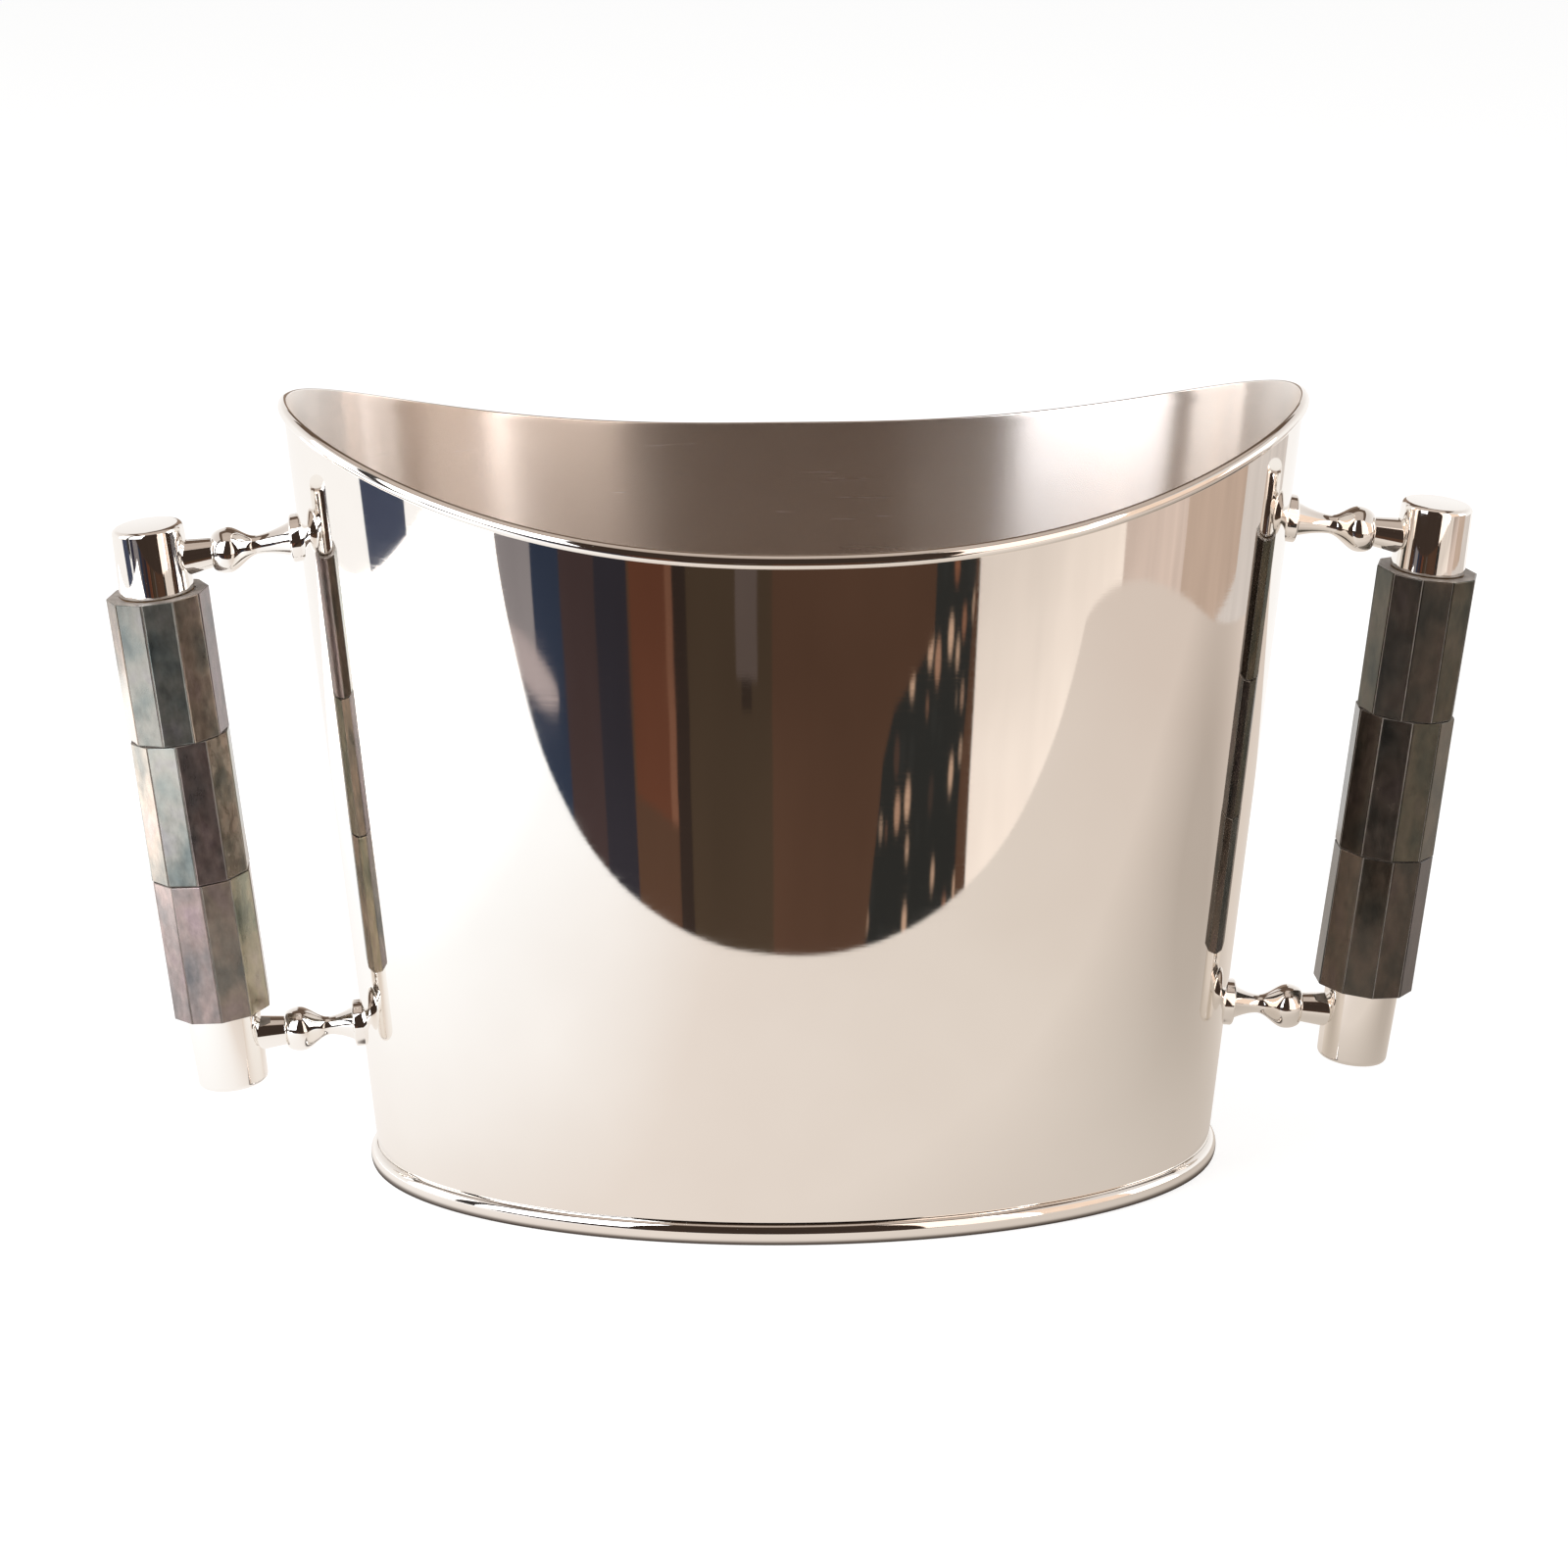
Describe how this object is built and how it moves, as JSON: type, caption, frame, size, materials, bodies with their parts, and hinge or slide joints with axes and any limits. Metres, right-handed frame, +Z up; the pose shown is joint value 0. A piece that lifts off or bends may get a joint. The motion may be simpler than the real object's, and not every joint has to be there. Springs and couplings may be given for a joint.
{
  "type": "champagne bucket",
  "caption": "Oval tapered metal champagne bucket with a scooped wired rim, a beaded foot and fixed side handles whose faceted grips are veneered with dark shell tiles.",
  "frame": {"origin": "centre of the foot ring's flat underside, on the surface that the bucket stands on", "axes": "+X towards the right handle in the picture's view, +Y away from the viewer, +Z up"},
  "size_m": [0.4095, 0.1678, 0.2401],
  "materials": {
    "polished_silver": "mirror-polished silver-coloured metal, satin inside the bucket",
    "dark_shell": "polished dark iridescent shell tiles",
    "hardwood": "plain turned hardwood, hidden under the tiles",
    "steel": "bright stainless steel",
    "seal_rubber": "pale matte food-safe rubber"
  },
  "bodies": {
    "root": {"bucket_wall": "polished_silver", "floor_plate": "polished_silver", "rim_wire": "polished_silver", "foot_ring": "polished_silver", "left_upper_post": "polished_silver", "left_lower_post": "polished_silver", "left_upper_ferrule": "polished_silver", "left_lower_ferrule": "polished_silver", "left_upper_tiles": "dark_shell", "left_middle_tiles": "dark_shell", "left_lower_tiles": "dark_shell", "left_grip_core": "hardwood", "left_tie_rod": "steel", "left_upper_screw": "steel", "left_lower_screw": "steel", "left_upper_seal": "seal_rubber", "left_lower_seal": "seal_rubber", "right_upper_post": "polished_silver", "right_lower_post": "polished_silver", "right_upper_ferrule": "polished_silver", "right_lower_ferrule": "polished_silver", "right_upper_tiles": "dark_shell", "right_middle_tiles": "dark_shell", "right_lower_tiles": "dark_shell", "right_grip_core": "hardwood", "right_tie_rod": "steel", "right_upper_screw": "steel", "right_lower_screw": "steel", "right_upper_seal": "seal_rubber", "right_lower_seal": "seal_rubber"}
  },
  "joints": []
}
